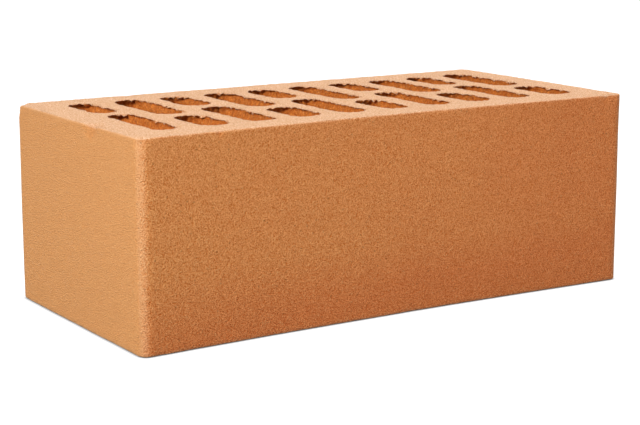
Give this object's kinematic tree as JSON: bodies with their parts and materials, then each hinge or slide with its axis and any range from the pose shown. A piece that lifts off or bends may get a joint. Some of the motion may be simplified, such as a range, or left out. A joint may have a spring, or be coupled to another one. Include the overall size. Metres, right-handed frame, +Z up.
{
  "type": "perforated clay brick",
  "caption": "Extruded fired-clay facing brick, with staggered round-ended slots running upright through it between its two bed faces.",
  "frame": {"origin": "middle of the lower bed face, on which the brick lies", "axes": "+X along the long stretcher faces, +Y from the front stretcher to the back one, +Z up through the slots"},
  "size_m": [0.25, 0.12, 0.088],
  "materials": {
    "fired_clay": "matte"
  },
  "bodies": {
    "root": {"brick": "fired_clay"}
  },
  "joints": []
}
